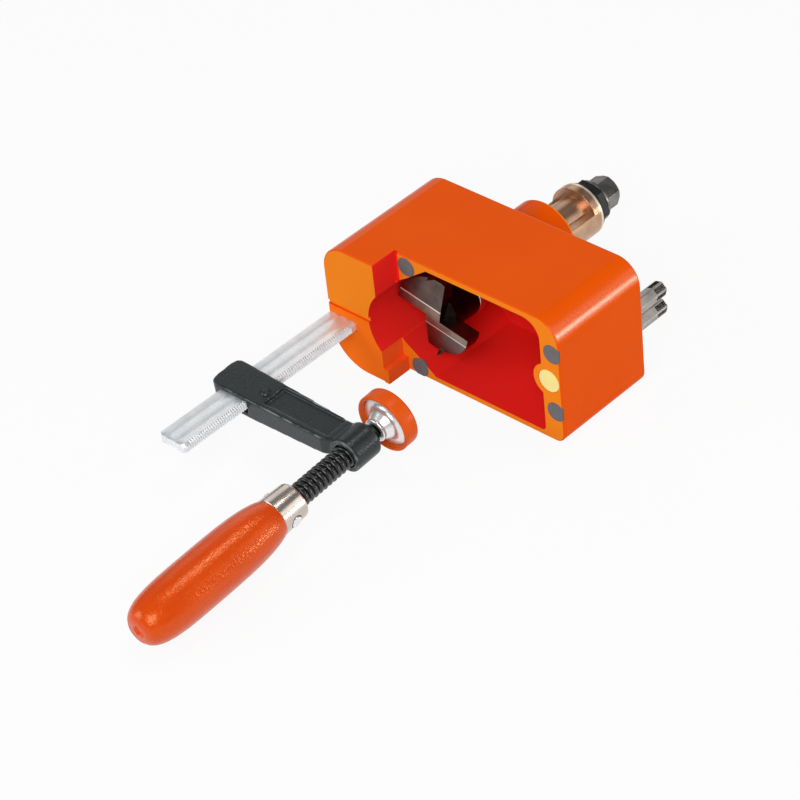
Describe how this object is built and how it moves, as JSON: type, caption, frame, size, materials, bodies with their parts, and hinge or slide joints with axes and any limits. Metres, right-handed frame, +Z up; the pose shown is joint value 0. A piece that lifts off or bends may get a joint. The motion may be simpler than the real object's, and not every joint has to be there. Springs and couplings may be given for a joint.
{
  "type": "drilling jig",
  "caption": "Hand drilling jig: orange die-cast housing with an edge stop, a guided boring bit on a hex-driven spindle, and a screw clamp on a toothed bar that holds the work to the rim.",
  "frame": {"origin": "the point where the drill axis meets the rim plane that rests on the work", "axes": "+X along the housing towards the end with the parked driver bits, +Y along the drill axis towards the drive hex, +Z up; the work lies on the -Y side of the rim"},
  "size_m": [0.1255, 0.3205, 0.062],
  "materials": {
    "orange_paint": "orange powder coat on a die casting, slightly glossy",
    "grey_rubber": "matt grey rubber",
    "yellow_plastic": "pale yellow translucent plastic",
    "bronze": "turned bearing bronze, fine turning lines",
    "tool_steel": "ground tool steel",
    "bright_steel": "polished steel ring",
    "dark_steel": "black oxide steel, satin",
    "driver_steel": "drawn tool steel",
    "zinc_bar": "bright zinc plated drawn bar",
    "black_casting": "black painted iron casting with a fine sand texture",
    "black_screw": "black oxide rolled thread",
    "nickel": "warm nickel plated tube",
    "zinc_plate": "zinc plated pressed steel",
    "orange_lacquer": "orange lacquer on turned hardwood",
    "orange_plastic": "moulded orange plastic"
  },
  "bodies": {
    "frame": {"housing": "orange_paint", "pad_upper_left": "grey_rubber", "pad_lower_left": "grey_rubber", "pad_upper_right": "grey_rubber", "pad_lower_right": "grey_rubber", "sighting_disc": "yellow_plastic", "guide_screw": "dark_steel", "clamp_bar": "zinc_bar", "bar_pins": "driver_steel"},
    "sleeve": {"guide_sleeve": "bronze"},
    "drill": {"boring_bit": "tool_steel", "hub_ring": "bright_steel", "spindle": "tool_steel", "keeper_ring": "dark_steel", "rear_washer": "dark_steel", "lock_nut": "dark_steel", "drive_hex": "dark_steel"},
    "spare_bit_upper": {"driver_bit_upper": "driver_steel"},
    "spare_bit_lower": {"driver_bit_lower": "driver_steel"},
    "arm": {"sliding_arm": "black_casting", "arm_rivet": "black_casting"},
    "ball": {"ball_end": "tool_steel"},
    "screw": {"clamp_screw": "black_screw", "ferrule": "nickel", "ferrule_pin": "nickel", "handle": "orange_lacquer"},
    "plate": {"pressure_plate": "zinc_plate", "plate_cap": "orange_plastic"}
  },
  "joints": [
    {"name": "drill_feed", "type": "slide", "parent": "frame", "child": "sleeve", "axis": [0, -1, 0], "range_m": [0, 0.0205]},
    {"name": "drill_spin", "type": "hinge", "parent": "sleeve", "child": "drill", "pos_m": [0, 0.06, 0], "axis": [0, 1, 0], "continuous": true},
    {"name": "arm_slide", "type": "slide", "parent": "frame", "child": "arm", "axis": [0, 1, 0], "range_m": [-0.03, 0.01]},
    {"name": "screw_feed", "type": "slide", "parent": "arm", "child": "ball", "axis": [0, 0.9969, 0.0785], "range_m": [-0.00137, 0.01581]},
    {"name": "screw_turn", "type": "hinge", "parent": "ball", "child": "screw", "pos_m": [0.026, -0.072, -0.0076], "axis": [0, 0.9969, 0.0785], "range_deg": [-180, 2070]},
    {"name": "plate_tilt", "type": "hinge", "parent": "ball", "child": "plate", "pos_m": [0.026, -0.05705, -0.00642], "axis": [0, -0.0785, 0.9969], "range_deg": [-10, 10]},
    {"name": "upper_bit_pull", "type": "slide", "parent": "frame", "child": "spare_bit_upper", "axis": [0, 1, 0], "range_m": [0, 0.03]},
    {"name": "lower_bit_pull", "type": "slide", "parent": "frame", "child": "spare_bit_lower", "axis": [0, 1, 0], "range_m": [0, 0.03]}
  ],
  "couplings": [
    {"joint": "screw_feed", "follows": "screw_turn", "m_per_rad": 0.00043768}
  ]
}
